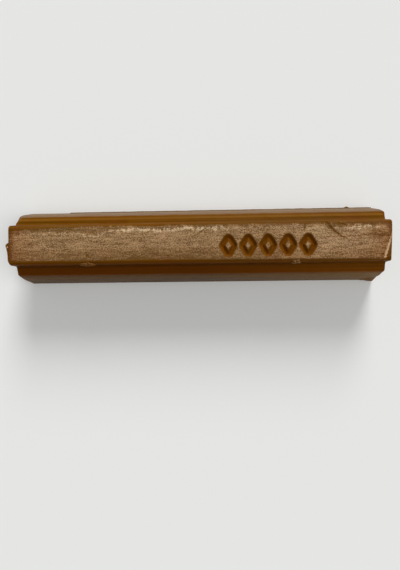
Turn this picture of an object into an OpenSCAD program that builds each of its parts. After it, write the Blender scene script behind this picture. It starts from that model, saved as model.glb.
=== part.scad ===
// Furniture repair wax stick.
// A single cast bar of pigmented wax with a stepped section: a broad foot, a shoulder
// on each side and a narrow rib whose flat top, the land, carries a sunk stamp.
// The stick lies along X on its base, with the origin at the centre of the base.

/* [Stick] */
// Length of the stick
stick_l = 80; // [60:1:120]
// Width across the base
base_w = 16.6; // [14.5:0.1:20]
// Height from the base to the land
stick_h = 11; // [10:0.1:14]
// Width across the outer edges of the shoulders
shoulder_w = 12.7; // [11.5:0.1:14]
// Height of the outer edge of a shoulder above the base
shoulder_z = 7.1; // [5:0.1:7.6]
// Rise of a shoulder from its outer edge to the foot of the rib
shoulder_rise = 0.6; // [0:0.1:1]
// How far the leaning side of the foot swells out at its knee
side_bulge = 0.25; // [0.1:0.05:0.4]
// Height of that knee, as a share of the shoulder's height
knee_share = 0.62; // [0.45:0.01:0.7]
// Width across the foot of the rib
rib_w = 9; // [8.7:0.1:9.6]
// Width of the land on top of the rib
land_w = 8.4; // [7.4:0.1:8.6]

/* [Rounding] */
// Radius along the edges of the land
land_round = 0.85; // [0.6:0.05:1]
// Radius of the hollow where the rib meets a shoulder
cove_round = 0.8; // [0.1:0.05:1]
// Radius along the outer edge of a shoulder
shoulder_round = 0.3; // [0.1:0.05:0.6]
// Radius of the side's swell at its knee
knee_round = 15; // [4:0.5:16]

/* [Stamp] */
// Number of sunk lozenges in the row
stamp_count = 5; // [1:1:7]
// Distance from one lozenge to the next
stamp_pitch = 4.1; // [3.8:0.05:5]
// Size of a lozenge along the stick
stamp_l = 3.7; // [2.8:0.1:3.75]
// Size of a lozenge across the stick
stamp_w = 5.3; // [3.6:0.1:5.5]
// Width of the sunk line that draws a lozenge
stamp_line = 1; // [0.5:0.05:1.1]
// Rounding of a lozenge's outer corners
stamp_round = 0.4; // [0.2:0.05:0.6]
// Depth of the sunk line
stamp_depth = 0.5; // [0.2:0.05:1]
// Distance from the plain end of the stick to the nearest lozenge
stamp_end_gap = 15.3; // [4:0.1:25]
// Distance from the near edge of the land to the nearest corner of a lozenge
stamp_edge_gap = 0.8; // [0.5:0.05:1.2]

/* [Gate stub] */
// Width of the stub across the stick
stub_w = 4.6; // [2:0.1:5]
// Height of the stub
stub_h = 2.8; // [1:0.1:3.2]
// How far the stub stands out of the end
stub_reach = 0.6; // [0.3:0.05:1]
// Distance from the near edge of the land to the stub
stub_edge_gap = 0.2; // [0.2:0.05:1]
// Distance from the land down to the top of the stub
stub_drop = 0.15; // [0.05:0.05:0.5]

/* [Burrs] */
// Length of the longer burr on the near edge of the land
long_burr_l = 3.6; // [2:0.1:5]
// Length of the shorter burr on the near edge of the land
short_burr_l = 2.3; // [1:0.1:4]
// Thickness of a burr, a little less than half of which stands out of the rounded edge of the land
burr_t = 0.85; // [0.5:0.05:0.95]
// How deep a burr's middle lies inside that edge
burr_sink = 0.08; // [0.05:0.01:0.2]
// Distance from the gate end to the middle of the longer burr
long_burr_x = 16.9; // [5:0.1:25]
// Distance from the plain end to the middle of the shorter burr
short_burr_x = 19.6; // [5:0.1:25]

/* [Flash] */
// Thickness of the thin flash left at the base where the mould parted
flash_t = 0.2; // [0.1:0.05:0.4]
// How far the flash stands out of the base
flash_reach = 0.22; // [0.1:0.02:0.5]
// Length of base edge on the far side, at the gate end, where the flash has broken off
flash_gap = 9.5; // [2:0.1:20]
// Length of the scrap of flash at the near corner of the plain end
corner_flash_l = 2.4; // [1:0.1:6]
// Height at which that scrap runs out on the leaning side
corner_flash_h = 4; // [1:0.1:4.2]

/* [Hidden] */
$fn = 96;
// How far cuts and hidden ends run past the surface they meet
overrun = 1;
// How much larger than the tangent arc a rounding arc is, as a share of its radius
arc_bite_share = 0.002;
wax = "#8a561f";
clean_wax = "#75430f";
plain_end_x = stick_l / 2;
gate_end_x = -stick_l / 2;
near_land_y = -land_w / 2;
// Corners of the section on its +Y side
base_corner = [base_w / 2, 0];
shoulder_edge = [shoulder_w / 2, shoulder_z];
side_knee = base_corner + (shoulder_edge - base_corner) * knee_share + [side_bulge, 0];
rib_root = [rib_w / 2, shoulder_z + shoulder_rise];
rib_crest = [land_w / 2, stick_h];
other_crest = [-rib_crest[0], rib_crest[1]];
stamp_last_x = plain_end_x - stamp_end_gap - stamp_l / 2;
stamp_y = near_land_y + stamp_edge_gap + stamp_w / 2;
// The stub seen from above, as shares of its reach and its width
stub_plan_shares = [[0, 0], [0.3, 0.09], [0.52, 0.24], [0.57, 0.54], [0.75, 0.68], [1, 0.88], [0.6, 0.97], [0, 1]];
// The stub seen from the side, as shares of its reach and its height
stub_side_shares = [[0, 0], [0.5, 0.25], [1, 0.7], [0.85, 1], [0, 1]];
// Half the outline of a burr, as shares of half its thickness and half its length
spindle_shares = [[0, -1], [0.5, -0.8], [0.85, -0.45], [1, 0], [0.85, 0.45], [0.5, 0.8], [0, 1]];
// The ragged rim of the flash, as shares of its length and its reach, with one torn lip
flash_rim_shares = [
    [0, 0.7], [0.06, 1], [0.2, 0.6], [0.38, 0.9], [0.55, 0.7], [0.74, 1], [0.895, 0.8],
    [0.905, 1.5], [0.925, 1.8], [0.935, 0.9], [1, 0.7]
];
// The rim of the scrap at the near corner
corner_rim_shares = [[0, 0], [0.45, 0.9], [0.85, 1.75], [1, 1.6]];

function unit(v) = v / norm(v);
function scaled(shares, size) = [for (s = shares) [s[0] * size[0], s[1] * size[1]]];
// Half the angle at the corner b of an outline, between a and c
function half_angle(a, b, c) = acos(unit(a - b) * unit(c - b)) / 2;
// Centre of the arc of radius r that rounds that corner
function arc_centre(a, b, c, r) = b + unit(unit(a - b) + unit(c - b)) * r / sin(half_angle(a, b, c));

// The sliver between the corner b of an outline, between a and c, and the arc that rounds it.
// It runs past both sides of the corner, and its arc is a hair larger than the tangent one, so that
// it crosses the sides cleanly.
module corner_sliver(a, b, c, r) {
    tangent = r / tan(half_angle(a, b, c));
    centre = arc_centre(a, b, c, r);
    mirrored = [for (p = [b + unit(a - b) * tangent, b, b + unit(c - b) * tangent]) 2 * p - centre];
    difference() {
        polygon(concat([centre], mirrored));
        translate(centre) circle(r * (1 + arc_bite_share));
    }
}

// A convex outline with an arc at each corner that has a radius
module rounded_outline(points, radii) {
    n = len(points);
    difference() {
        polygon(points);
        for (i = [0 : n - 1])
            if (radii[i] > 0) corner_sliver(points[(i + n - 1) % n], points[i], points[(i + 1) % n], radii[i]);
    }
}

// The rebate that leaves one shoulder and one wall of the rib, with a hollow in its corner
module rebate() {
    past_edge = shoulder_edge + unit(shoulder_edge - rib_root) * overrun;
    past_crest = rib_crest + unit(rib_crest - rib_root) * overrun;
    past_both = [past_edge[0], past_crest[1]];
    rounded_outline([rib_root, past_edge, past_both, past_crest], [cove_round, 0, 0, 0]);
}

// The section of the stick seen from the plain end: a block with a rebate in each upper corner
module stick_section() {
    side = [base_corner, side_knee, shoulder_edge, [shoulder_edge[0], stick_h]];
    difference() {
        polygon(concat(side, [for (i = [len(side) - 1 : -1 : 0]) [-side[i][0], side[i][1]]]));
        for (flip = [0, 1]) mirror([flip, 0]) {
            rebate();
            corner_sliver(base_corner, side_knee, shoulder_edge, knee_round);
            corner_sliver(side_knee, shoulder_edge, rib_root, shoulder_round);
            corner_sliver(rib_root, rib_crest, other_crest, land_round);
        }
    }
}

// Lays an outline in Y and Z along X
module along_x(length) {
    rotate([90, 0, 90]) linear_extrude(length, center = true) children();
}

module plain_stick() {
    along_x(stick_l) stick_section();
}

// One lozenge drawn as a closed line
module lozenge() {
    outer = [[stamp_l / 2, 0], [0, stamp_w / 2], [-stamp_l / 2, 0], [0, -stamp_w / 2]];
    // The line keeps its width on all four sides, so the inner lozenge is the outer one made smaller
    side = norm([stamp_l, stamp_w]) / 2;
    to_side = stamp_l * stamp_w / 4 / side;
    inner_share = 1 - stamp_line / to_side;
    difference() {
        rounded_outline(outer, [for (p = outer) stamp_round]);
        polygon(outer * inner_share);
    }
}

module stamp_row() {
    for (i = [0 : stamp_count - 1])
        translate([stamp_last_x - i * stamp_pitch, stamp_y, stick_h - stamp_depth])
            linear_extrude(stamp_depth + overrun) lozenge();
}

// A thin spindle along X, thickest in the middle
module spindle(length, thickness) {
    rotate([0, 90, 0]) rotate_extrude()
        polygon(scaled(spindle_shares, [thickness / 2, length / 2]));
}

module wax_bar() {
    color(wax) difference() {
        plain_stick();
        stamp_row();
    }
}

module gate_stub() {
    top = stick_h - stub_drop;
    color(clean_wax) translate([gate_end_x, near_land_y + stub_edge_gap, top - stub_h]) mirror([1, 0, 0])
        intersection() {
            linear_extrude(stub_h) polygon(scaled(stub_plan_shares, [stub_reach, stub_w]));
            translate([0, stub_w, 0]) rotate([90, 0, 0]) linear_extrude(stub_w)
                polygon(scaled(stub_side_shares, [stub_reach, stub_h]));
        }
}

module land_burrs() {
    // A burr follows the middle of the arc that rounds the edge
    centre = arc_centre(rib_root, rib_crest, other_crest, land_round);
    middle = centre + unit(rib_crest - centre) * (land_round - burr_sink);
    color(clean_wax) difference() {
        union() {
            translate([gate_end_x + long_burr_x, -middle[0], middle[1]]) spindle(long_burr_l, burr_t);
            translate([plain_end_x - short_burr_x, -middle[0], middle[1]]) spindle(short_burr_l, burr_t);
        }
        plain_stick();
    }
}

// A strip of flash along X from zero, with a ragged rim towards +Y and its root inside the base
module flash_strip(length, rim_shares, thickness) {
    rim = scaled(rim_shares, [length, flash_reach]);
    linear_extrude(thickness) polygon(concat([[length, -overrun], [0, -overrun]], rim));
}

// The thicker scrap at a corner, whose outer face slants from its rim to where it runs out on the side
module corner_scrap() {
    widest = flash_reach * max([for (share = corner_rim_shares) share[1]]);
    run_out = (side_knee - base_corner) * corner_flash_h / side_knee[1];
    past_run_out = run_out + unit(run_out - [widest, 0]) * overrun;
    inside = -2 * overrun;
    intersection() {
        flash_strip(corner_flash_l, corner_rim_shares, past_run_out[1]);
        rotate([90, 0, 90]) linear_extrude(corner_flash_l)
            polygon([[inside, 0], [widest, 0], past_run_out, [inside, past_run_out[1]]]);
    }
}

module base_flash() {
    color(clean_wax) difference() {
        union() {
            translate([gate_end_x + flash_gap, base_corner[0], 0])
                flash_strip(stick_l - flash_gap, flash_rim_shares, flash_t);
            translate([plain_end_x - corner_flash_l, -base_corner[0], 0]) mirror([0, 1, 0]) corner_scrap();
        }
        plain_stick();
    }
}

wax_bar();
gate_stub();
land_burrs();
base_flash();
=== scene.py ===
# %% [markdown]
# # A furniture repair wax stick
# A cast bar of pigmented wax, rubbed or melted into scratches in furniture. It is one casting with a
# stepped section, a stamped top, and three kinds of scrap left by the mould and by handling.
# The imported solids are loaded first, because they fix where every piece sits and how large it is.

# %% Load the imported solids
import math
from functools import partial

import bpy
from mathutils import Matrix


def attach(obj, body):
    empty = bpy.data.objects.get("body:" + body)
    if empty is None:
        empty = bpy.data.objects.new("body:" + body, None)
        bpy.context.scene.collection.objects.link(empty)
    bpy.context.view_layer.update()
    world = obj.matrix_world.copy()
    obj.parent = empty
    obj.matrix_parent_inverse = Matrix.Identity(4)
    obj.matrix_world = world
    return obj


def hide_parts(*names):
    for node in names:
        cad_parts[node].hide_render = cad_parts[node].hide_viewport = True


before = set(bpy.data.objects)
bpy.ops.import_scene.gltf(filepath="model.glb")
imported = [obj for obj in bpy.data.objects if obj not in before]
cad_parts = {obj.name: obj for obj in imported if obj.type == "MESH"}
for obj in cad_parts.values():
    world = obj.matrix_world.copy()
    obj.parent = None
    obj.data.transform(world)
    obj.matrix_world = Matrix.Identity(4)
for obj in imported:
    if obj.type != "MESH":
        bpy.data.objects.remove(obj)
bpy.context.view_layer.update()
METRES_PER_MM = 0.001


def in_mm(box):
    """Gives the corners of a box in millimetres, for printing."""
    return [[round(c / METRES_PER_MM, 2) for c in corner] for corner in box]


# %% [markdown]
# ## Helpers
# Colours are written as sRGB hex, the way a colour picker shows them, while Blender's sockets take
# linear light, so one function converts them. One function fills the inputs of a node, and one adds a
# node of any kind and fills it. Each tree has its own short name for that: in_wax adds a node to the
# wax, in_bar to the bar. A Math node is named with its operation. Inputs that share a name are picked by
# number: a Math node's are 0, 1 and 2, and a Mix node takes its share at 0, plain numbers at 2 and 3,
# and colours at 6 and 7. SMOOTH lets a Map Range start and end softly.

# %% Colour and node helpers
SMOOTH = {"interpolation_type": "SMOOTHSTEP"}


def linear(hex_colour):
    """Turns an sRGB hex colour into the linear colour, with alpha, that a socket takes."""
    shares = [int(hex_colour[i:i + 2], 16) / 255 for i in (1, 3, 5)]
    return [s / 12.92 if s <= 0.04045 else ((s + 0.055) / 1.055) ** 2.4 for s in shares] + [1]


def fill(node, inputs):
    """Fills a node's inputs with values, with sockets, or with the first live output of other nodes."""
    for key, value in inputs.items():
        if isinstance(value, bpy.types.Node):
            value = next(output for output in value.outputs if output.enabled)
        if isinstance(value, bpy.types.NodeSocket):
            node.id_data.links.new(value, node.inputs[key])
        else:
            node.inputs[key].default_value = value


def add(tree, kind, inputs, **settings):
    """Adds a node, sets it and fills its inputs. Kind leaves out the family, an operation may follow."""
    kind, *operation = kind.split()
    if operation:
        settings["operation"] = operation[0]
    families = ("GeometryNode", "ShaderNode", "FunctionNode", "Node")
    made = tree.nodes.new(next(f + kind for f in families if hasattr(bpy.types, f + kind)))
    for name, value in settings.items():
        setattr(made, name, value)
    fill(made, inputs)
    return made


print("linear mid grey:", [round(c, 3) for c in linear("#808080")])

# %% [markdown]
# ## The wax
# Repair wax is a hard wax blend full of earth pigment. Fresh from the mould it has a satin skin and a
# deep amber brown. Where it is touched and rubbed, the skin is scuffed to a pale, dull bloom made of
# tiny flecks, and the die leaves faint lines along the bar. The bar's mesh carries an attribute named
# scuff that says where handling reached, and noise breaks it up into flecks. A painted picture could
# do the same, but a procedural pattern stays sharp at any distance and needs no unwrapping.

# %% Start the wax material and its patterns
# Pigmented wax, cast: satin where the skin is clean, nearly matt where it is scuffed, never mirror-like.
wax = bpy.data.materials.new("pigmented_wax")
wax.use_nodes = True
wax_tree = wax.node_tree
in_wax = partial(add, wax_tree)
# Scuff above 1 also carries painted sheen, a painted highlight and a painted glint
scuff = in_wax("Attribute", {}, attribute_name="scuff").outputs["Fac"]
place_in_metres = in_wax("TexCoord", {}).outputs["Object"]
# From here on the material counts in millimetres
place = in_wax("VectorMath SCALE", {0: place_in_metres, "Scale": 1 / METRES_PER_MM})
# Name: size of the pattern in mm, how much it is drawn out along the bar, detail
patterns = {
    "grain": (0.4, 1.3, 4), "grit": (0.22, 1.3, 2), "cluster": (1.6, 2.4, 2), "rub": (0.45, 7, 2),
    "streak": (0.36, 120, 2), "band": (1.1, 160, 1), "blotch": (6, 1.6, 2)}
noise = {}
for name, (size_mm, stretch, detail) in patterns.items():
    spread = in_wax("Mapping", {"Vector": place, "Scale": (1 / stretch, 1, 1)})
    noise[name] = in_wax(
        "TexNoise", {"Vector": spread, "Scale": 1 / size_mm, "Detail": detail, "Roughness": 0.7})
print("wax patterns in mm:", {name: sizes[0] for name, sizes in patterns.items()})

# %% [markdown]
# Handling leaves two things. A dull film covers every rubbed face, and pale flecks stand on it where
# the skin was scratched up. The film follows the scuff attribute with soft, slow noise. The flecks are
# the peaks of a fine noise, and they gather where the scuff is strong and where a slower noise is high.
# Small dark specks sit in the hollows of the same fine noise.

# %% Film and flecks
FILM_START = 0.1
RUB_WEIGHT = 0.7
CLUSTER_WEIGHT = 0.2
FLECKS_PER_SCUFF = 0.22
FLECKS_PER_PUSH = 0.7
rub_part = in_wax("Math MULTIPLY", {0: noise["rub"], 1: RUB_WEIGHT})
film_noise = in_wax("Math MULTIPLY_ADD", {0: noise["cluster"], 1: CLUSTER_WEIGHT, 2: rub_part})
free_push = in_wax(
    "MapRange", {"Value": film_noise, "From Max": 0.9, "To Min": -0.32, "To Max": 0.32}, clamp=False)
# Clean skin stays clean: the push counts only where there is some scuff
push_room = in_wax("Math MULTIPLY", {0: scuff, 1: 3}, use_clamp=True)
film_push = in_wax("Math MULTIPLY", {0: free_push, 1: push_room})
filmed = in_wax("Math ADD", {0: scuff, 1: film_push})
film = in_wax("MapRange", {"Value": filmed, "From Min": FILM_START, "From Max": 0.7}, **SMOOTH)
mottle = in_wax("Mix", {0: 0.7, 2: noise["grain"], 3: noise["grit"]})
fleck_base = in_wax("Math MULTIPLY_ADD", {0: scuff, 1: FLECKS_PER_SCUFF, 2: mottle})
fleck_drive = in_wax("Math MULTIPLY_ADD", {0: film_push, 1: FLECKS_PER_PUSH, 2: fleck_base})
fleck = in_wax("MapRange", {"Value": fleck_drive, "From Min": 0.58, "From Max": 0.88}, **SMOOTH)
speck = in_wax("MapRange", {
    "Value": mottle, "From Min": 0.3, "From Max": 0.46, "To Min": 0.4, "To Max": 0}, **SMOOTH)
print("film starts at", FILM_START, "of scuff")

# %% [markdown]
# The wax isn't the same colour all over, so the material asks where a spot lies on the bar. Each answer
# is a share between 0 and 1: how far towards the plain end or the far side, whether it is on a leaning
# side, and how strong a pattern is there. The end faces answer no to most of them, so they stay calm.

# %% Shares that say where a spot is
SIDE_TOP = 6.95
spot = in_wax("SeparateXYZ", {0: place}).outputs
spot_from_middle = in_wax("Math ABSOLUTE", {0: spot["X"]})
# Name: what it is read from, where that starts and ends, and the share at its start and end
spans = {
    "not end": (spot_from_middle, 39.4, 39.9, 1, 0), "end": (spot_from_middle, 33, 38.5, 0, 0.85),
    "plain end": (spot["X"], 0, 36, 0, 1), "far": (spot["Y"], -6, 6, 0, 1),
    "line": (noise["streak"], 0.34, 0.66, 0, 1), "band": (noise["band"], 0.4, 0.6, 0, 1),
    "tint": (noise["blotch"], 0.35, 0.65, 0, 1), "red": (noise["blotch"], 0.5, 0.72, 0, 0.35),
    "sheen": (scuff, 0.94, 1.27, 0, 1)}
share = {}
for name, (value, start, end, at_start, at_end) in spans.items():
    share[name] = in_wax("MapRange", {
        "Value": value, "From Min": start, "From Max": end, "To Min": at_start, "To Max": at_end})
on_side = in_wax("MapRange", {
    "Value": spot["Z"], "From Min": 6.5, "From Max": SIDE_TOP, "To Min": share["not end"], "To Max": 0})
print("side ends at", SIDE_TOP, "mm of height")

# %% [markdown]
# Three places differ from the rest of the clean skin, and all three are painted light or shade. The near
# shoulder is a deeper red, in lines along the bar: painted shade, lighter towards the plain end. The edge
# of the far shoulder carries a painted highlight, a lighter line. Painted shade darkens both creases
# between a shoulder and the rib, the near one more, and it is found by the distance from the middle of
# the crease.

# %% Painted shade on the near shoulder, painted edge highlight and painted shade in the creases
EDGE_HIGHLIGHT_Y = 5.78
CREASE_Y = 4.4
# Painted shade on the near shoulder, in lines along the bar
near_line = in_wax("MapRange", {"Value": share["line"], "To Min": 0.4, "To Max": 1})
near_shade_most = in_wax("Math MULTIPLY", {0: share["not end"], 1: near_line})
near_shade_share = in_wax("MapRange", {
    "Value": spot["Y"], "From Min": -4.6, "From Max": -3.5, "To Min": near_shade_most, "To Max": 0})
# Painted highlight: a lighter line along the edge of the far shoulder
from_edge_line = in_wax("Math SUBTRACT", {0: spot["Y"], 1: EDGE_HIGHLIGHT_Y})
off_edge_line = in_wax("Math ABSOLUTE", {0: from_edge_line})
edge_highlight_most = in_wax("Math MULTIPLY", {0: share["not end"], 1: 0.8})
edge_highlight_share = in_wax("MapRange", {
    "Value": off_edge_line, "From Min": 0.1, "From Max": 0.4, "To Min": edge_highlight_most, "To Max": 0}, **SMOOTH)
# Both creases are folded onto one, and heights count half, so the painted shade climbs the rib
fold_y = in_wax("Math ABSOLUTE", {0: spot["Y"]})
half_up = in_wax("Math MULTIPLY", {0: spot["Z"], 1: 0.5})
folded_place = in_wax("CombineXYZ", {"Y": fold_y, "Z": half_up})
crease_up = in_wax("MapRange", {"Value": share["far"], "To Min": 4.4, "To Max": 4.75})
crease_middle = in_wax("CombineXYZ", {"Y": CREASE_Y, "Z": crease_up})
to_crease = in_wax("VectorMath DISTANCE", {0: folded_place, 1: crease_middle})
# Painted shade in the creases: strongest on the near side, weaker towards the plain end and on the far
# side
near_crease_shade = in_wax("MapRange", {"Value": share["plain end"], "To Min": 0.55, "To Max": 0.4})
crease_shade = in_wax("MapRange", {"Value": share["far"], "To Min": near_crease_shade, "To Max": 0.22})
crease_shade_share = in_wax("MapRange", {
    "Value": to_crease, "From Min": 0.45, "From Max": 0.95, "To Min": crease_shade, "To Max": 0}, **SMOOTH)
print("painted edge highlight at", EDGE_HIGHLIGHT_Y, "mm and creases at", CREASE_Y, "mm from the middle")

# %% [markdown]
# The film is warmer at the ends, where the bar is held. Painted light makes the near leaning side paler
# towards the plain end. The leaning sides hardly fleck, and the end faces only where the scuff is very
# strong.

# %% Warmth, painted light on the near side and room for flecks
SIDE_FLECKS = 0.05
sunk = in_wax("Attribute", {}, attribute_name="sunk").outputs["Fac"]
plain_warmth = in_wax("Math MULTIPLY", {0: share["plain end"], 1: 0.3})
warm_share = in_wax("Math MAXIMUM", {0: share["end"], 1: plain_warmth})
fleck_warmth = in_wax("Math MULTIPLY", {0: warm_share, 1: 0.5})
# Painted light: the near leaning side turns paler towards the plain end
painted_near_light = in_wax("Math MULTIPLY", {0: share["plain end"], 1: 0.65})
side_room = in_wax("MapRange", {"Value": on_side, "To Min": 1, "To Max": SIDE_FLECKS})
end_room = in_wax("MapRange", {"Value": share["not end"], "To Min": share["sheen"]})
fleck_share = fleck
for room in (side_room, end_room, film):
    fleck_share = in_wax("Math MULTIPLY", {0: fleck_share, 1: room})
print("flecks left on the sides:", SIDE_FLECKS)

# %% [markdown]
# The colour is built up from mixes of two, and most of them take an earlier mix further. First comes the
# skin with its blotches, its painted shade on the near shoulder and in the creases, its painted edge
# highlight, and its sunk lines painted lighter against their shade. Then comes the film on top and on the
# sides, where painted shade darkens the near side and painted light and reflection lighten the far side.
# Last come the specks and flecks that lie on both, with their painted sheen.

# %% Mix the colours
# Name of the mix: share of its second colour, first colour, second colour
mixes = [
    ("clean skin", share["line"], "#5c3903", "#744705"),
    # Painted shade on the near shoulder, lighter towards the plain end
    ("near skin", share["plain end"], "#632d02", "#7d4506"),
    ("blotched skin", share["red"], "clean skin", "#6e3205"),
    ("shaded skin", near_shade_share, "blotched skin", "near skin"),
    # Painted highlight along the far shoulder's edge
    ("edged skin", edge_highlight_share, "shaded skin", "#86581a"),
    # Painted shade in the creases
    ("creased skin", crease_shade_share, "edged skin", "#301901"),
    # Painted light: the sunk lines get a lighter, redder skin that offsets their shade
    ("whole skin", sunk, "creased skin", "#723e03"),
    ("cool film", share["tint"], "#684c25", "#704f2d"),
    ("warm film", warm_share, "cool film", "#6f4320"),
    # Leaning sides: painted shade darkens the near side, and painted light and reflection lighten the far
    # side
    ("dark side", share["band"], "#513715", "#65461e"),
    ("near side", painted_near_light, "dark side", "#84602f"),
    ("far side", share["band"], "#664a26", "#705129"),
    ("both sides", share["far"], "near side", "far side"),
    ("dull wax", on_side, "warm film", "both sides"),
    ("worn wax", film, "whole skin", "dull wax"),
    ("specked wax", speck, "worn wax", "#4a3111"),
    # Painted sheen: the strongest scuff makes the flecks paler and brighter
    ("pale fleck", share["sheen"], "#b28c62", "#e4c69e"),
    ("warm fleck", fleck_warmth, "pale fleck", "#ad7a4a"),
    ("flecked wax", fleck_share, "specked wax", "warm fleck"),
]
colour = {}
for name, second_share, *pair in mixes:
    first, second = [colour[word] if word in colour else linear(word) for word in pair]
    colour[name] = in_wax("Mix", {0: second_share, 6: first, 7: second}, data_type="RGBA")
print("wax colours:", list(colour))

# %% [markdown]
# A clean skin is satin and a filmed one nearly matt. Grain stands up only where there is film, the die
# lines everywhere, both as a bump of a few hundredths of a millimetre. The pigment dulls the skin, so it
# mirrors less than clear wax would, while the sides keep some of the mould's polish. Light goes up to a
# millimetre into the wax, red furthest, which softens the edges.

# %% Gloss, relief and depth of the wax
RELIEF_MM = 0.05
LINES_IN_RELIEF = 0.2
top_gloss = in_wax("MapRange", {"Value": film, "To Min": 0.38, "To Max": 0.66})
gloss = in_wax("Mix", {0: on_side, 2: top_gloss, 3: 0.4})
grain_height = in_wax("Math MULTIPLY", {0: noise["grain"], 1: film})
relief = in_wax("Math MULTIPLY_ADD", {0: noise["streak"], 1: LINES_IN_RELIEF, 2: grain_height})
bump = in_wax("Bump", {"Height": relief, "Distance": RELIEF_MM * METRES_PER_MM})
side_mirror = in_wax("MapRange", {"Value": share["far"], "To Min": 0.05, "To Max": 0.11})
mirror = in_wax("MapRange", {"Value": on_side, "To Min": 0.03, "To Max": side_mirror})
fill(wax_tree.nodes["Principled BSDF"], {
    "Base Color": colour["flecked wax"], "Roughness": gloss, "Normal": bump, "IOR": 1.44,
    "Specular IOR Level": mirror, "Subsurface Weight": 0.2, "Subsurface Radius": (1.0, 0.5, 0.2),
    "Subsurface Scale": METRES_PER_MM})
print("wax nodes:", len(wax_tree.nodes))

# %% [markdown]
# ## Growing a piece with Geometry Nodes
# Each piece is grown by a node tree with named sizes in millimetres. A tree runs as a modifier on an
# empty mesh, its inputs are set by socket identifier, and the evaluated result is copied into a plain
# mesh, so nothing live is left on the finished piece. The position node that every tree starts with is
# read afresh wherever it is used, so it always gives the places that the points have by then. The names
# size, here and axes always belong to the tree that was started last.

# %% Start a tree, end it, and grow a piece
SOCKETS = {float: "Float", int: "Int", bpy.types.Object: "Object"}


def start_tree(name, sizes):
    """Starts a tree with an input for each size. Returns it, its adder, inputs, position and axes."""
    tree = bpy.data.node_groups.new(name, "GeometryNodeTree")
    tree.interface.new_socket("Geometry", in_out="OUTPUT", socket_type="NodeSocketGeometry")
    for label, value in sizes.items():
        tree.interface.new_socket(label, in_out="INPUT", socket_type="NodeSocket" + SOCKETS[type(value)])
    in_tree = partial(add, tree)
    here = in_tree("InputPosition", {})
    axes = in_tree("SeparateXYZ", {0: here}).outputs
    return tree, in_tree, in_tree("GroupInput", {}).outputs, here, axes


def end_tree(in_tree, mesh, scuff_there):
    """Ends a tree: scuff stored, all but sharp corners smooth, metres, instances realized, wax set."""
    stored = in_tree("StoreNamedAttribute", {"Geometry": mesh, "Name": "scuff", "Value": scuff_there})
    smooth = in_tree("SetShadeSmooth", {"Geometry": stored})
    corner = in_tree("InputMeshEdgeAngle", {})
    is_sharp = in_tree("Compare GREATER_THAN", {"A": corner, "B": math.radians(50)})
    edged = in_tree("SetShadeSmooth", {
        "Geometry": smooth, "Selection": is_sharp, "Shade Smooth": False}, domain="EDGE")
    scaled = in_tree("Transform", {"Geometry": edged, "Scale": [METRES_PER_MM] * 3})
    solid = in_tree("RealizeInstances", {"Geometry": scaled})
    finished = in_tree("SetMaterial", {"Geometry": solid, "Material": wax})
    in_tree("GroupOutput", {"Geometry": finished})


def grow(name, tree, sizes):
    """Runs a tree with its sizes and returns the result as an object with a plain mesh."""
    maker = bpy.data.objects.new(name + "_maker", bpy.data.meshes.new(name + "_maker"))
    bpy.context.scene.collection.objects.link(maker)
    modifier = maker.modifiers.new("grow", "NODES")
    modifier.node_group = tree
    for socket in tree.interface.items_tree:
        if socket.in_out == "INPUT":
            modifier[socket.identifier] = sizes[socket.name]
    evaluated = maker.evaluated_get(bpy.context.evaluated_depsgraph_get())
    piece = bpy.data.objects.new(name, bpy.data.meshes.new_from_object(evaluated))
    bpy.data.objects.remove(maker)
    bpy.context.scene.collection.objects.link(piece)
    box = in_mm((piece.bound_box[0], piece.bound_box[6]))
    print(name, "faces:", len(piece.data.polygons), "box in mm:", box)
    return piece


print("sizes can be", list(SOCKETS.values()))

# %% [markdown]
# ## The bar: its section
# The bar has the same section all along: a leaning side, a shoulder, a coved rib wall and a flat land
# on top. Half of it is drawn as a line through six corners, and Fillet Curve rounds the corners with
# the radii of the mould. It could be modelled by hand with bevels, but here a rule gives the shape.

# %% Sizes of the bar
bar_sizes = {
    "Length": 80.0, "Base Half Width": 8.3, "Base Height": 0.0, "Knee Half Width": 7.34,
    "Knee Height": 4.4, "Shoulder Half Width": 6.35, "Shoulder Height": 7.1, "Root Half Width": 4.5,
    "Root Height": 7.7, "Land Half Width": 4.2, "Land Height": 11.0, "Flat Half Width": 3.1,
    "Knee Round": 15.0, "Shoulder Round": 0.45, "Cove Round": 0.7, "Land Round": 0.85,
    "Top End Round": 0.3, "Foot End Round": 0.4,
    "Columns": 462, "Across": 42, "Rows": 59, "Wave Height": 0.06, "Seed": 7.0,
    "Stamp Count": 5, "Stamp Pitch": 4.1, "Stamp First X": 6.5, "Stamp Y": -0.72, "Lozenge Width": 2.66,
    "Lozenge Half Height": 2.1, "Lozenge Round": 0.4, "Line Half Width": 0.6, "Line Depth": 0.45,
}
print("bar length in mm:", bar_sizes["Length"])

# %% [markdown]
# Handling has cut a few scratches and pits into the land. A bump could fake them, but a real groove also
# shows from the side. They are listed as paths with a half width at each point, so a curve object can
# carry them into the tree, and its point radius is the half width.

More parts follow.
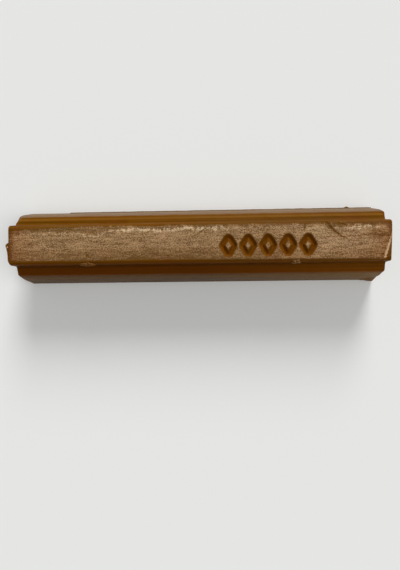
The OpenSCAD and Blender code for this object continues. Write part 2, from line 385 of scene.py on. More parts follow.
# %% Paths of the scratches and pits
mark_paths = [
    [(26.5, 3.9, 0.34), (27.3, 2.9, 0.32), (28.3, 1.87, 0.26), (29.6, 0.9, 0.18), (30.9, 0.35, 0.08)],
    [(29.1, 3.6, 0.2), (30.5, 3.15, 0.12)],
    [(22.3, 3.35, 0.2), (22.2, 2.8, 0.19), (22.0, 2.26, 0.1)],
    [(-0.3, 1.38, 0.05), (0.8, 2.2, 0.1), (1.8, 3.0, 0.06)],
    [(-23.4, -2.75, 0.16), (-23.15, -2.3, 0.32), (-22.85, -2.75, 0.14)],
    [(38.0, -2.95, 0.3), (38.05, -2.85, 0.3)],
    [(-6.2, -2.6, 0.12), (-6.0, -2.6, 0.12)],
    [(34.2, 1.2, 0.09), (35.4, 0.9, 0.05)],
]
marks = bpy.data.curves.new("handling_marks", "CURVE")
marks.dimensions = "3D"
for path in mark_paths:
    spline = marks.splines.new("POLY")
    spline.points.add(len(path) - 1)
    for point, (x, y, radius) in zip(spline.points, path):
        point.co = (x, y, 0, 1)
        point.radius = radius
handling_marks = bpy.data.objects.new("handling_marks", marks)
bpy.context.scene.collection.objects.link(handling_marks)
bar_sizes["Handling Marks"] = handling_marks
bar_tree, in_bar, size, here, axes = start_tree("wax_bar_tree", bar_sizes)
print("handling marks:", len(mark_paths), "bar inputs:", len(bar_sizes))

# %% [markdown]
# Each corner has a place across and up and, apart from the two ends of the line, the radius of its
# rounding. An Index Switch hands point number n the n-th place, and another the n-th radius.

# %% Draw half of the section
corners = [
    ("Base Half Width", "Base Height", None), ("Knee Half Width", "Knee Height", "Knee Round"),
    ("Shoulder Half Width", "Shoulder Height", "Shoulder Round"),
    ("Root Half Width", "Root Height", "Cove Round"), ("Land Half Width", "Land Height", "Land Round"),
    ("Flat Half Width", "Land Height", None)]
index = in_bar("InputIndex", {})
corner_place = in_bar("IndexSwitch", {"Index": index}, data_type="VECTOR")
corner_round = in_bar("IndexSwitch", {"Index": index}, data_type="FLOAT")
for order, (across, up, rounding) in enumerate(corners):
    if order > 1:
        corner_place.index_switch_items.new()
        corner_round.index_switch_items.new()
    corner = in_bar("CombineXYZ", {"X": size[across], "Y": size[up]})
    fill(corner_place, {order + 1: corner})
    if rounding:
        fill(corner_round, {order + 1: size[rounding]})
points = in_bar("Points", {"Count": len(corners), "Position": corner_place})
section_line = in_bar("PointsToCurves", {"Points": points, "Weight": index})
section = in_bar("FilletCurve", {"Curve": section_line, "Count": 10, "Radius": corner_round}, mode="POLY")
print("section corners:", len(corners))

# %% [markdown]
# ## The bar: from a gridded block to the casting
# A cube with many cuts is a closed block whose faces are all grids. Each of its points knows how far
# along (X), across (Y) and up (Z) it is, so it can be moved to its place on the casting: up picks a
# point on the section, across spreads it from one side to the other. The rows are set closer on the
# roundings, and the columns closer at the ends and under the stamp.

# %% Spread the block's rows and columns
block = in_bar("MeshCube", {
    "Size": (2, 2, 1), "Vertices X": size["Columns"], "Vertices Y": size["Across"],
    "Vertices Z": size["Rows"]})


def set_stops(node, stops):
    """Makes a Float Curve run straight from stop to stop, which may lie above 1, and returns it."""
    node.mapping.use_clip = False
    line = node.mapping.curves[0]
    line.points[0].location = stops[0]
    line.points[1].location = stops[-1]
    for stop in stops[1:-1]:
        line.points.new(*stop)
    for point in line.points:
        point.handle_type = "VECTOR"
    node.mapping.update()
    return node


# Share of the rows, and how far along the half section they reach
row_share = in_bar("Math ADD", {0: axes["Z"], 1: 0.5})
row_spread = set_stops(in_bar("FloatCurve", {"Value": row_share}), [
    (0, 0), (0.1034, 0.261), (0.1897, 0.416), (0.2586, 0.538), (0.3621, 0.5687), (0.4655, 0.6637),
    (0.6034, 0.725), (0.7586, 0.881), (0.9483, 0.9757), (1, 1)])
# Share of the columns, and how far along the bar they reach
column_share = in_bar("MapRange", {"Value": axes["X"], "From Min": -1})
column_spread = set_stops(in_bar("FloatCurve", {"Value": column_share}), [
    (0, 0), (0.013, 0.005), (0.4382, 0.5437), (0.9132, 0.9), (0.987, 0.995), (1, 1)])
print("rows:", bar_sizes["Rows"], "columns:", bar_sizes["Columns"])

# %% [markdown]
# Sample Curve gives the place on the half section and the direction of its outline there. Along the bar,
# the columns run from the gate end, where X is lowest, to the plain end.

# %% Set each point on the section
on_section = in_bar("SampleCurve", {"Curves": section, "Factor": row_spread}, mode="FACTOR")
section_place = in_bar("SeparateXYZ", {0: on_section.outputs["Position"]}).outputs
slope = in_bar("SeparateXYZ", {0: on_section.outputs["Tangent"]}).outputs
plain_end_x = in_bar("Math MULTIPLY", {0: size["Length"], 1: 0.5})
gate_end_x = in_bar("Math MULTIPLY", {0: plain_end_x, 1: -1})
along = in_bar("MapRange", {"Value": column_spread, "To Min": gate_end_x, "To Max": plain_end_x})
print("section sampled by", on_section.mode)

# %% [markdown]
# The edges at both ends are rounded too, a little at the top and more at the foot. A Bevel modifier has
# one width for all of them, so here a rule does it: near an end, the section is drawn in by what a
# quarter circle takes off, at right angles to its own outline.

# %% Round the ends
from_middle = in_bar("Math ABSOLUTE", {0: along})
from_end = in_bar("Math SUBTRACT", {0: plain_end_x, 1: from_middle})
end_round = in_bar("MapRange", {
    "Value": section_place["Y"], "From Max": size["Shoulder Height"], "To Min": size["Foot End Round"],
    "To Max": size["Top End Round"]})
past_start = in_bar("Math SUBTRACT", {0: end_round, 1: from_end})
into_round = in_bar("Math MAXIMUM", {0: past_start, 1: 0})
round_squared = in_bar("Math POWER", {0: end_round, 1: 2})
into_squared = in_bar("Math POWER", {0: into_round, 1: 2})
left_squared = in_bar("Math SUBTRACT", {0: round_squared, 1: into_squared})
left = in_bar("Math SQRT", {0: left_squared})
draw_in = in_bar("Math SUBTRACT", {0: end_round, 1: left})
draw_back = in_bar("Math MULTIPLY", {0: draw_in, 1: -1})
half_width = in_bar("Math MULTIPLY_ADD", {0: slope["Y"], 1: draw_back, 2: section_place["X"]})
raw_height = in_bar("Math MULTIPLY_ADD", {0: slope["X"], 1: draw_in, 2: section_place["Y"]})
height = in_bar("Math MAXIMUM", {0: raw_height, 1: 0})
sideways = in_bar("Math MULTIPLY", {0: half_width, 1: axes["Y"]})
cast_place = in_bar("CombineXYZ", {"X": along, "Y": sideways, "Z": height})
cast = in_bar("SetPosition", {"Geometry": block, "Position": cast_place})
print("ends rounded by", bar_sizes["Top End Round"], "to", bar_sizes["Foot End Round"], "mm")

# %% [markdown]
# ## The bar: soft waves and a knock
# Wax shrinks as it sets and is pressed by fingers, so no face is quite flat and no edge quite straight.
# This could be sculpted, but a slow noise has a size and a depth that can be set: it moves the surface
# in and out by a few hundredths of a millimetre. It fades out towards the base, which lies flat on the
# table. The far shoulder has also been knocked at the gate end: its corner is pushed in, most at the
# corner itself.

# %% Wave the surface and knock a corner
KNOCKED_CORNER = (-40, 6.35, 7.1)
KNOCK_MOVE = (0.16, -0.35, -0.3)


def shift(in_tree, mesh, direction, amount):
    """Moves the points of a mesh along a direction by an amount, and returns the moved mesh."""
    move = in_tree("VectorMath SCALE", {0: direction, "Scale": amount})
    return in_tree("SetPosition", {"Geometry": mesh, "Offset": move})


wave = in_bar(
    "TexNoise", {"Vector": here, "W": size["Seed"], "Scale": 0.3, "Detail": 2}, noise_dimensions="4D")
wave_most = in_bar("MapRange", {"Value": axes["Z"], "From Max": 1.5, "To Max": size["Wave Height"]})
wave_signed = in_bar("MapRange", {"Value": wave, "To Min": -2, "To Max": 2}, clamp=False)
wave_height = in_bar("Math MULTIPLY", {0: wave_signed, 1: wave_most})
waved = shift(in_bar, cast, in_bar("InputNormal", {}), wave_height)
to_corner = in_bar("VectorMath DISTANCE", {0: here, 1: KNOCKED_CORNER})
knock = in_bar("MapRange", {"Value": to_corner, "From Max": 1.6, "To Min": 1, "To Max": 0}, **SMOOTH)
knocked = shift(in_bar, waved, KNOCK_MOVE, knock)
print("waves up to", bar_sizes["Wave Height"], "mm, corner moved by", KNOCK_MOVE)

# %% [markdown]
# ## The bar: its stamp
# The land carries a row of five sunk lozenges, pressed in with a die. A Boolean could cut them, but its
# walls would be sharp. Instead one lozenge is a kite-shaped curve, a line of points repeats it, and
# Geometry Proximity tells each point of the land how far it is from the nearest line. A smooth step of
# that distance is the depth, so the walls come out rounded.

# %% Lay out the stamp and measure from it
kite = in_bar("CurvePrimitiveQuadrilateral", {
    "Width": size["Lozenge Width"], "Bottom Height": size["Lozenge Half Height"],
    "Top Height": size["Lozenge Half Height"]}, mode="KITE")
lozenge = in_bar("FilletCurve", {"Curve": kite, "Count": 6, "Radius": size["Lozenge Round"]}, mode="POLY")
row_start = in_bar("CombineXYZ", {"X": size["Stamp First X"], "Y": size["Stamp Y"]})
row_step = in_bar("CombineXYZ", {"X": size["Stamp Pitch"]})
row = in_bar("MeshLine", {"Count": size["Stamp Count"], "Start Location": row_start, "Offset": row_step})
lozenges = in_bar("InstanceOnPoints", {"Points": row, "Instance": lozenge})
realized = in_bar("RealizeInstances", {"Geometry": lozenges})
stamp_lines = in_bar("CurveToMesh", {"Curve": realized})
flat_place = in_bar("CombineXYZ", {"X": axes["X"], "Y": axes["Y"]})
to_stamp = in_bar(
    "Proximity", {"Geometry": stamp_lines, "Sample Position": flat_place},
    target_element="EDGES").outputs["Distance"]
print("stamp pitch", bar_sizes["Stamp Pitch"], "mm")

# %% [markdown]
# The scratches are found the same way: the nearest point of their paths gives its distance and its half
# width, and a mark is less than half as deep as its half width. The near corner of the plain end is worn
# to a flat facet, and a slanting line, its ridge, says where that facet starts.

# %% Measure from the scratches and the worn corner
MARK_STEP = 0.06
RIDGE_POINT = (39.8, 0.75, 0)
ACROSS_RIDGE = (0.956, -0.294, 0)
mark_curves = in_bar("ObjectInfo", {"Object": size["Handling Marks"]}).outputs["Geometry"]
mark_steps = in_bar("ResampleCurve", {"Curve": mark_curves, "Length": MARK_STEP}, mode="LENGTH")
mark_width = in_bar("StoreNamedAttribute", {
    "Geometry": mark_steps, "Name": "half_width", "Value": in_bar("InputRadius", {})})
mark_points = in_bar("CurveToPoints", {"Curve": mark_width}, mode="EVALUATED")
nearest = in_bar("SampleNearest", {"Geometry": mark_points, "Sample Position": flat_place})
stored_width = in_bar("InputNamedAttribute", {"Name": "half_width"})
half_width_there = in_bar(
    "SampleIndex", {"Geometry": mark_points, "Value": stored_width, "Index": nearest})
place_there = in_bar(
    "SampleIndex", {"Geometry": mark_points, "Value": here, "Index": nearest}, data_type="FLOAT_VECTOR")
to_mark = in_bar("VectorMath DISTANCE", {0: flat_place, 1: place_there})
mark_share = in_bar("Math DIVIDE", {0: to_mark, 1: half_width_there})
from_ridge = in_bar("VectorMath SUBTRACT", {0: flat_place, 1: RIDGE_POINT})
past_ridge = in_bar("VectorMath DOT_PRODUCT", {0: from_ridge, 1: ACROSS_RIDGE})
print("marks are sampled every", MARK_STEP, "mm")

# %% [markdown]
# Stamp, marks and facet all lower the land, so their depths are added and the land is moved down once.
# The share named on_land keeps the rib walls and everything below them in place.

# %% Press the stamp and the marks into the land
on_land = in_bar("MapRange", {"Value": axes["Z"], "From Min": 10.3, "From Max": 10.8})
line_depth = in_bar("MapRange", {
    "Value": to_stamp, "From Min": 0.1, "From Max": size["Line Half Width"],
    "To Min": size["Line Depth"], "To Max": 0}, **SMOOTH)
mark_depth = in_bar("MapRange", {"Value": mark_share, "To Min": 0.4, "To Max": 0}, **SMOOTH)
cut_depth = in_bar("Math MULTIPLY_ADD", {0: mark_depth, 1: half_width_there, 2: line_depth})
facet_depth = in_bar("MapRange", {"Value": past_ridge, "From Max": 2, "To Max": 0.7})
land_depth = in_bar("Math ADD", {0: cut_depth, 1: facet_depth})
land_drop = in_bar("Math MULTIPLY", {0: land_depth, 1: on_land})
stamped = shift(in_bar, knocked, (0, 0, -1), land_drop)
print("stamp depth", bar_sizes["Line Depth"], "mm")

# %% [markdown]
# ## The bar: where it is scuffed
# The wax material asks the mesh how much each spot was handled. The land is rubbed up to a limit near its
# far edge, and a line of dashes of painted sheen runs a little inside that limit. Both lines wander, so a
# Float Curve gives each for every place along the bar, as a share of half the land's width. Three more
# curves say how strong the painted sheen of the dashes is and how thick the film is on the near and on
# the far part of the land.

# %% Curves along the bar
bar_share = in_bar("MapRange", {"Value": axes["X"], "From Min": gate_end_x, "From Max": plain_end_x})
along_bar = {
    "limit": [
        (0, 0.73), (0.06, 0.74), (0.13, 0.82), (0.25, 0.88), (0.57, 0.88), (0.73, 0.87), (0.78, 0.83),
        (0.8, 0.87), (0.835, 0.85), (0.866, 0.8), (0.95, 0.8), (1, 0.83)],
    "sheen_dashes": [
        (0, 0.58), (0.155, 0.58), (0.19, 0.54), (0.22, 0.45), (0.25, 0.46), (0.26, 0.6), (0.28, 0.66),
        (0.33, 0.67), (0.4, 0.68), (0.47, 0.69), (0.53, 0.72), (0.78, 0.74), (0.866, 0.64), (0.95, 0.66),
        (1, 0.7)],
    "dash sheen": [
        (0, 0.08), (0.03, 0.3), (0.15, 0.3), (0.2, 0.45), (0.28, 0.55), (0.34, 1), (0.54, 1), (0.6, 0.3),
        (0.8, 0.3), (0.87, 0.22), (0.9, 0.8), (0.97, 0.8), (0.99, 0.22)],
    "near film": [
        (0, 0.72), (0.14, 0.75), (0.27, 0.5), (0.5, 0.5), (0.78, 0.96), (0.93, 0.94), (1, 0.88)],
    "far film": [(0, 1), (0.72, 1), (0.8, 1.08), (0.9, 1.06), (1, 0.98)]}
curve = {}
for name, stops in along_bar.items():
    curve[name] = set_stops(in_bar("FloatCurve", {"Value": bar_share}), stops)
print("curves along the bar:", list(curve))

# %% [markdown]
# Two noises, a broad and a fine one, push the limit and the line of dashes to and fro, which makes them
# ragged. What counts from here on is how far a spot lies inside each line.

# %% Ragged lines
push_sum = 0
for reach_mm, spacing_mm in ((0.7, 1.6), (0.5, 0.5)):
    push = in_bar("TexNoise", {
        "Vector": here, "W": size["Seed"], "Scale": 1 / spacing_mm, "Detail": 1}, noise_dimensions="4D")
    pushed = in_bar("Math MULTIPLY_ADD", {0: push, 1: 2 * reach_mm, 2: -reach_mm})
    push_sum = in_bar("Math ADD", {0: push_sum, 1: pushed})
inside_lines = []
for name, push_part in (("limit", 0.5), ("sheen_dashes", 1)):
    straight = in_bar("Math MULTIPLY", {0: curve[name], 1: size["Land Half Width"]})
    ragged = in_bar("Math MULTIPLY_ADD", {0: push_sum, 1: push_part, 2: straight})
    inside_lines.append(in_bar("Math SUBTRACT", {0: ragged, 1: axes["Y"]}))
inside_limit, inside_dash = inside_lines
print("ragged lines:", len(inside_lines))

# %% [markdown]
# The film steps up inside the limit and once more inside the line of dashes. At both ends the strip
# outside the limit is rubbed a little too. A straight limit does the same along the near edge, and the
# film thins towards it.

# %% Film on the land
LAND_FILM = 0.82
from_middle_now = in_bar("Math ABSOLUTE", {0: axes["X"]})
from_end_now = in_bar("Math SUBTRACT", {0: plain_end_x, 1: from_middle_now})
strip_scuff = in_bar(
    "MapRange", {"Value": from_middle_now, "From Min": 12, "From Max": 25, "To Max": 0.32})
film_step = in_bar("MapRange", {
    "Value": inside_limit, "From Min": -0.2, "From Max": 0.25, "To Min": strip_scuff,
    "To Max": LAND_FILM}, **SMOOTH)
dash_step = in_bar(
    "MapRange", {"Value": inside_dash, "From Min": -0.3, "From Max": 0.35, "To Max": 0.18}, **SMOOTH)
far_scuff = in_bar("Math ADD", {0: film_step, 1: dash_step})
near_limit = in_bar("MapRange", {"Value": bar_share, "To Min": -3.45, "To Max": -3.85})
inside_near = in_bar("Math SUBTRACT", {0: axes["Y"], 1: near_limit})
near_scuff = in_bar("MapRange", {"Value": inside_near, "From Min": -0.25, "From Max": 0.35}, **SMOOTH)
thinning = in_bar("MapRange", {
    "Value": axes["Y"], "From Min": -3.4, "From Max": -0.8, "To Min": curve["near film"],
    "To Max": curve["far film"]})
thinned = far_scuff
for part in (near_scuff, thinning):
    thinned = in_bar("Math MULTIPLY", {0: thinned, 1: part})
print("film inside the limit:", LAND_FILM)

# %% [markdown]
# A dash is strongest on its line and fades to both sides, and a noise along the bar leaves gaps between
# dashes. They are added to the film, so the scuff rises above 1 there, and the material turns that into
# painted sheen: brighter, paler flecks.

# %% Dashes of painted sheen on the land
DASH_SHEEN = 0.5
DASH_REACH = 0.58
off_dash = in_bar("Math ABSOLUTE", {0: inside_dash})
dash_line = in_bar(
    "MapRange", {"Value": off_dash, "From Max": DASH_REACH, "To Min": 1, "To Max": 0}, **SMOOTH)
gap_noise = in_bar("TexNoise", {"W": axes["X"], "Scale": 1.2, "Detail": 1}, noise_dimensions="1D")
dash = in_bar(
    "MapRange", {"Value": gap_noise, "From Min": 0.38, "From Max": 0.52, "To Min": 0.25}, **SMOOTH)
sheen_dashes = dash_line
for part in (dash, curve["dash sheen"]):
    sheen_dashes = in_bar("Math MULTIPLY", {0: sheen_dashes, 1: part})
scuff_and_sheen = in_bar("Math MULTIPLY_ADD", {0: sheen_dashes, 1: DASH_SHEEN, 2: thinned})
on_top = in_bar("MapRange", {"Value": axes["Z"], "From Min": 10.55, "From Max": 10.85}, **SMOOTH)
print("dashes reach", DASH_REACH, "mm from their line")

# %% [markdown]
# Some spots of the land stay cleaner: the very ends, the sunk lines, the marks, the facet and one patch
# near the plain end. Each lowers the scuff by its own factor. A painted highlight runs along the ridge of
# the facet, as extra scuff that the material turns bright.
# The leaning sides are dull from the table and the box, and the end faces a little less. The shoulders
# and rib walls keep their clean skin, because nothing rubs them.

# %% Spots that stay cleaner, and the whole scuff
PATCH_MIDDLE = (37.0, 1.3, 0)
PER_PATCH_SIZE = (1 / 2.0, 1 / 1.0, 0)
RIDGE_HALF_WIDTH = 0.24
RIDGE_HIGHLIGHT = 0.75
DULL_TOP = 6.75
to_patch = in_bar("VectorMath SUBTRACT", {0: flat_place, 1: PATCH_MIDDLE})
patch_share = in_bar("VectorMath MULTIPLY", {0: to_patch, 1: PER_PATCH_SIZE})
patch_far = in_bar("VectorMath LENGTH", {0: patch_share})
# What is measured, from where to where, the factor at both, and how it runs between them
cleaner = [
    (from_end_now, 0.2, 1.6, 0.45, 1, SMOOTH), (to_stamp, 0.45, 0.85, 0.1, 1, SMOOTH),
    (mark_share, 0.3, 1.5, 0.4, 1, {}), (past_ridge, 0, 0.3, 1, 0.6, {}),
    (patch_far, 0.5, 1.2, 0.78, 1, SMOOTH)]
land_scuff = in_bar("Math MULTIPLY", {0: scuff_and_sheen, 1: on_top})
for value, start, end, at_start, at_end, run in cleaner:
    factor = in_bar("MapRange", {
        "Value": value, "From Min": start, "From Max": end, "To Min": at_start, "To Max": at_end}, **run)
    land_scuff = in_bar("Math MULTIPLY", {0: land_scuff, 1: factor})
# Painted highlight: a thin band along the ridge of the facet
ridge_highlight = in_bar("Math COMPARE", {0: past_ridge, 1: 0, 2: RIDGE_HALF_WIDTH})
for part in (on_top, near_scuff):
    ridge_highlight = in_bar("Math MULTIPLY", {0: ridge_highlight, 1: part})
scuff_and_ridge_highlight = in_bar("Math MULTIPLY_ADD", {0: ridge_highlight, 1: RIDGE_HIGHLIGHT, 2: land_scuff})
side_scuff = in_bar("MapRange", {
    "Value": axes["Z"], "From Min": 6.2, "From Max": DULL_TOP, "To Min": 0.7, "To Max": 0}, **SMOOTH)
face_scuff = in_bar("MapRange", {
    "Value": from_end_now, "From Min": 0.1, "From Max": 0.5, "To Min": 0.5, "To Max": side_scuff})
all_scuff = in_bar("Math MAXIMUM", {0: scuff_and_ridge_highlight, 1: face_scuff})
print("dull sides end at", DULL_TOP, "mm of height")

# %% [markdown]
# The sunk lines get an attribute of their own, which the material turns into the strongest colour: a
# lighter, redder skin, painted light that offsets the shade in the grooves. Then the bar is grown, and
# the curve that carried the marks has done its work.

# %% Grow the bar
sunk_share = in_bar("MapRange", {
    "Value": to_stamp, "From Min": 0.35, "From Max": 0.7, "To Min": on_land, "To Max": 0}, **SMOOTH)
with_sunk = in_bar("StoreNamedAttribute", {"Geometry": stamped, "Name": "sunk", "Value": sunk_share})
end_tree(in_bar, with_sunk, all_scuff)
bar = grow("cast_bar", bar_tree, bar_sizes)
bpy.data.objects.remove(handling_marks)

# %% [markdown]
# ## The gate stump
# Wax is poured in through a gate at the end of the mould. When it is snapped off, a low, torn stump
# stays on the end face, highest at one side. It could be sculpted, but curves are easier to correct. So
# a gridded block is pulled out of the end face by two Float Curves, one for how far it stands out across
# the end and one for how it swells with height.

# %% Pull the stump out of the end face
stump_sizes = {
    "End X": -40.0, "Near Y": -4.0, "Width": 4.6, "Low Z": 8.05, "Height": 2.8, "Reach": 0.9,
    "Sink": 0.1, "Root": 0.4, "Roughness": 0.12, "Seed": 3.0, "Columns": 10, "Across": 44, "Rows": 28}
stump_tree, in_stump, size, here, axes = start_tree("gate_stump_tree", stump_sizes)
block = in_stump(
    "MeshCube", {"Vertices X": size["Columns"], "Vertices Y": size["Across"], "Vertices Z": size["Rows"]})
out_share = in_stump("Math SUBTRACT", {0: 0.5, 1: axes["X"]})
across_share = in_stump("Math ADD", {0: axes["Y"], 1: 0.5})
up_share = in_stump("Math ADD", {0: axes["Z"], 1: 0.5})
plan = set_stops(in_stump("FloatCurve", {"Value": across_share}), [
    (0, 0), (0.09, 0.3), (0.24, 0.5), (0.54, 0.55), (0.68, 0.74), (0.84, 0.98), (0.9, 1), (0.97, 0.55),
    (1, 0.1)])
swell = set_stops(in_stump("FloatCurve", {"Value": up_share}), [
    (0, 0.1), (0.25, 0.5), (0.7, 1), (0.92, 0.95), (1, 0.75)])
shape = in_stump("Math MULTIPLY", {0: plan, 1: swell})
stands_out = in_stump("Math MULTIPLY", {0: shape, 1: size["Reach"]})
root_x = in_stump("Math ADD", {0: size["End X"], 1: size["Root"]})
sunk_x = in_stump("Math ADD", {0: size["End X"], 1: size["Sink"]})
rim_x = in_stump("Math SUBTRACT", {0: sunk_x, 1: stands_out})
stump_x = in_stump("Mix", {0: out_share, 2: root_x, 3: rim_x})
stump_y = in_stump("Math MULTIPLY_ADD", {0: across_share, 1: size["Width"], 2: size["Near Y"]})
stump_z = in_stump("Math MULTIPLY_ADD", {0: up_share, 1: size["Height"], 2: size["Low Z"]})
stump_place = in_stump("CombineXYZ", {"X": stump_x, "Y": stump_y, "Z": stump_z})
pulled = in_stump("SetPosition", {"Geometry": block, "Position": stump_place})
print("stump stands out by", stump_sizes["Reach"], "mm")

# %% [markdown]
# Noise roughens the break, more inwards than outwards. The stump keeps its clean skin apart from one
# small spot near the top of its rim, where a painted glint is set as a very strong scuff that the
# material turns into bright flecks.

# %% Roughen the break and grow the stump
PAINTED_GLINT_PLACE = (-40.28, -0.35, 10.75)


def roughen(in_tree, mesh, place_now, inputs, scale, low, high, inward):
    """Pushes a mesh in and out by noise, up to its Roughness outwards, and returns it."""
    lumps = in_tree(
        "TexNoise", {"Vector": place_now, "W": inputs["Seed"], "Scale": scale, "Detail": 3},
        noise_dimensions="4D")
    deepest = in_tree("Math MULTIPLY", {0: inputs["Roughness"], 1: -inward})
    lump_height = in_tree("MapRange", {
        "Value": lumps, "From Min": low, "From Max": high, "To Min": deepest,
        "To Max": inputs["Roughness"]})
    return shift(in_tree, mesh, in_tree("InputNormal", {}), lump_height)


broken = roughen(in_stump, pulled, here, size, scale=1.6, low=0, high=1, inward=1.2)
# Painted glint: a small spot of very strong scuff
to_painted_glint = in_stump("VectorMath DISTANCE", {0: here, 1: PAINTED_GLINT_PLACE})
stump_scuff_and_glint = in_stump(
    "MapRange", {"Value": to_painted_glint, "From Min": 0.12, "From Max": 0.34, "To Min": 1.5, "To Max": 0.12})
end_tree(in_stump, broken, stump_scuff_and_glint)
stump = grow("gate_stump", stump_tree, stump_sizes)

# %% [markdown]
# ## The burrs
# Where a thumbnail or a table edge has dragged over the rib's near edge, wax is rolled into small lips.
# Each could be modelled on its own, but they are the same kind of thing. So one tree makes a lip from a
# ball, drawn out along the edge and roughened by noise, and it is grown twice, with the sizes of the
# longer and of the shorter lip.

# %% Grow the burrs
def burr_sizes(middle_x, length, scuff_there, seed):
    """Sizes in mm of a burr on the near edge of the land, and how much it is scuffed."""
    return {
        "Middle X": middle_x, "Middle Y": -4.1, "Middle Z": 10.5, "Length": length, "Thickness": 1.0,
        "Depth": 1.1, "Roughness": 0.3, "Scuff": scuff_there, "Seed": seed, "Segments": 32, "Rings": 40}


long_burr_sizes = burr_sizes(middle_x=-23.1, length=3.4, scuff_there=0.42, seed=1.0)
burr_tree, in_burr, size, here, axes = start_tree("burr_tree", long_burr_sizes)
ball = in_burr("MeshUVSphere", {"Segments": size["Segments"], "Rings": size["Rings"], "Radius": 0.5})
turned = in_burr("Transform", {"Geometry": ball, "Rotation": (0, math.radians(90), 0)})
burr_size = in_burr("CombineXYZ", {"X": size["Length"], "Y": size["Thickness"], "Z": size["Depth"]})
burr_middle = in_burr("CombineXYZ", {"X": size["Middle X"], "Y": size["Middle Y"], "Z": size["Middle Z"]})
drawn = in_burr("Transform", {"Geometry": turned, "Translation": burr_middle, "Scale": burr_size})
rolled = roughen(in_burr, drawn, here, size, scale=2, low=0.25, high=0.75, inward=1)
end_tree(in_burr, rolled, size["Scuff"])
long_burr = grow("long_burr", burr_tree, long_burr_sizes)
short_burr_sizes = burr_sizes(middle_x=20.5, length=2.1, scuff_there=0.6, seed=4.0)
short_burr = grow("short_burr", burr_tree, short_burr_sizes)

# %% [markdown]
# ## The flash
# Where the mould parts, wax creeps out into a thin fin along the base. On the far side it runs from near
# the gate end to the plain end with a torn lip, and at the near plain corner a thicker scrap is left. It
# could be pulled out of the bar's own faces, but a strip of its own can be thin and ragged and leaves the
# bar's grid alone. The strip follows the base edge, a noise along it makes the rim ragged, and it thins
# to the rim.

# %% Shape the rim of the flash
far_fin_sizes = {
    "Start X": -30.5, "End X": 39.8, "Root Y": 8.28, "Side": 1.0, "Embed": 0.3, "Reach": 0.2,
    "Thickness": 0.22, "Lip X": 34.2, "Lip Half Length": 0.7, "Lip Reach": 0.26, "Seed": 2.0,
    "Steps": 240}
corner_fin_sizes = far_fin_sizes | {
    "Start X": 37.2, "End X": 39.9, "Side": -1.0, "Embed": 1.2, "Reach": 0.1, "Thickness": 4.0,
    "Lip X": 39.5, "Lip Half Length": 1.8, "Lip Reach": 0.27, "Steps": 40}
fin_tree, in_fin, size, here, axes = start_tree("flash_tree", far_fin_sizes)
strip = in_fin("MeshCube", {"Vertices X": size["Steps"], "Vertices Y": 8, "Vertices Z": 5})
from_corner = in_fin("VectorMath ADD", {0: here, 1: (0.5, 0.5, 0.5)})
along_share, out_share, up_share = in_fin("SeparateXYZ", {0: from_corner}).outputs
fin_x = in_fin("Mix", {0: along_share, 2: size["Start X"], 3: size["End X"]})
rim_seed = in_fin("Math ADD", {0: fin_x, 1: size["Seed"]})
rim_noise = in_fin("TexNoise", {"W": rim_seed, "Scale": 0.3, "Detail": 3}, noise_dimensions="1D")
rim_share = in_fin("MapRange", {"Value": rim_noise, "From Min": 0.3, "From Max": 0.7, "To Min": 0.7})
past_lip = in_fin("Math SUBTRACT", {0: fin_x, 1: size["Lip X"]})
from_lip = in_fin("Math ABSOLUTE", {0: past_lip})
lip_share = in_fin("MapRange", {
    "Value": from_lip, "From Max": size["Lip Half Length"], "To Min": 1, "To Max": 0}, **SMOOTH)
lip_reach = in_fin("Math MULTIPLY", {0: lip_share, 1: size["Lip Reach"]})
fin_reach = in_fin("Math MULTIPLY_ADD", {0: rim_share, 1: size["Reach"], 2: lip_reach})
full_reach = in_fin("Math ADD", {0: fin_reach, 1: size["Embed"]})
print("flash reaches", far_fin_sizes["Reach"], "mm from the base")

# %% [markdown]
# The strip starts inside the bar, so that no gap shows at its root. A strip on the near side is mirrored,
# which turns its faces inside out, so they are flipped again.

# %% Lay the flash along the base
root_y = in_fin("Math SUBTRACT", {0: size["Root Y"], 1: size["Embed"]})
out_y = in_fin("Math MULTIPLY_ADD", {0: full_reach, 1: out_share, 2: root_y})
fin_y = in_fin("Math MULTIPLY", {0: out_y, 1: size["Side"]})
thin_share = in_fin("MapRange", {"Value": out_share, "To Min": 1, "To Max": 0.1})
thinned_up = in_fin("Math MULTIPLY", {0: up_share, 1: thin_share})
fin_z = in_fin("Math MULTIPLY", {0: thinned_up, 1: size["Thickness"]})
fin_place = in_fin("CombineXYZ", {"X": fin_x, "Y": fin_y, "Z": fin_z})
laid = in_fin("SetPosition", {"Geometry": strip, "Position": fin_place})
mirrored = in_fin("Compare LESS_THAN", {"A": size["Side"], "B": 0.0})
facing_out = in_fin("FlipFaces", {"Mesh": laid, "Selection": mirrored})
end_tree(in_fin, facing_out, 0.5)
far_fin = grow("far_fin", fin_tree, far_fin_sizes)
corner_fin = grow("corner_fin", fin_tree, corner_fin_sizes)

# %% [markdown]
# ## Hand the pieces to the frame
# Each finished piece rides on the stick's one body and hides the plain solid that it stands for. A solid
# that stayed in view would poke through wherever the real wax is pressed in or worn away.

# %% Replace the solids
stands_for = {
    bar: "wax_bar", stump: "gate_stub", long_burr: "land_burrs", short_burr: "land_burrs",
    far_fin: "base_flash", corner_fin: "base_flash"}
for piece, node in stands_for.items():
    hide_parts(node)
    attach(piece, "root")
print("pieces:", [piece.name for piece in stands_for])

# %% [markdown]
# ## Floor, light and camera
# The stick lies on a matt white table top. A plain floor keeps the eye on the stick, and a very low gloss
# keeps lamps from showing in it.

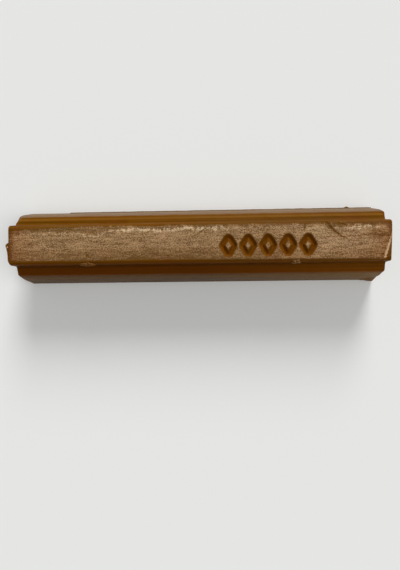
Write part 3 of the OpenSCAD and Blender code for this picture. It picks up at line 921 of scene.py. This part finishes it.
# %% Floor
# White laminate, matt: an even pale ground that only shows the stick's soft shadow.
laminate = bpy.data.materials.new("white_laminate")
laminate.use_nodes = True
fill(laminate.node_tree.nodes["Principled BSDF"], {
    "Base Color": linear("#f7f8f6"), "Roughness": 0.9, "Specular IOR Level": 0.1})
bpy.ops.mesh.primitive_plane_add(size=6)
floor = bpy.context.object
floor.name = "table_top"
floor.data.materials.append(laminate)
print("floor size in m:", floor.dimensions.x)

# %% [markdown]
# A low, soft light from the far side rakes over the land, shows its grain and throws the shadow to the
# near side. A weaker and softer one from the upper right opens that shadow, and an even fill from all
# round keeps it from going black. The camera itself sees the surroundings brighter than they light, so
# that no dark wall shows above the floor.

# %% Light
def soft_sun(name, toward, degrees, strength):
    """Adds a light that is as wide as the degrees say, so that its shadows are soft."""
    data = bpy.data.lights.new(name, "SUN")
    data.angle = math.radians(degrees)
    data.energy = strength
    lamp = bpy.data.objects.new(name, data)
    lamp.location = toward
    lamp.rotation_euler = (-lamp.location).to_track_quat("-Z", "Y").to_euler()
    bpy.context.scene.collection.objects.link(lamp)


soft_sun("far_light", (0.15, 0.89, 0.42), degrees=22, strength=2.5)
soft_sun("top_light", (0.6, -0.1, 0.8), degrees=50, strength=0.9)
FILL_STRENGTH = 0.28
SEEN_STRENGTH = 0.85
world = bpy.data.worlds.new("studio")
world.use_nodes = True
bpy.context.scene.world = world
seen = add(world.node_tree, "LightPath", {}).outputs["Is Camera Ray"]
world_level = add(world.node_tree, "Mix", {0: seen, 2: FILL_STRENGTH, 3: SEEN_STRENGTH})
fill(world.node_tree.nodes["Background"], {"Color": linear("#ffffff"), "Strength": world_level})

# %% [markdown]
# The camera hangs close above the stick and looks almost straight down, as the photographer did. So near,
# the land looks longer than the base, which is further away. The lens is as wide as a phone's.

# %% Camera
SENSOR_MM = 36
LENS_PIXELS = 400
PICTURE_PIXELS = 570
camera_data = bpy.data.cameras.new("camera")
camera_data.sensor_width = SENSOR_MM
camera_data.lens = SENSOR_MM * LENS_PIXELS / PICTURE_PIXELS
camera_data.clip_start = 0.005
camera = bpy.data.objects.new("camera", camera_data)
camera.location = (0.00362, -0.00682, 0.09418)
camera.rotation_euler = [math.radians(a) for a in (-1.403, 2.116, -0.701)]
bpy.context.scene.collection.objects.link(camera)
bpy.context.scene.camera = camera
bpy.context.scene.view_settings.view_transform = "Standard"
print("lens in mm:", round(camera_data.lens, 2))
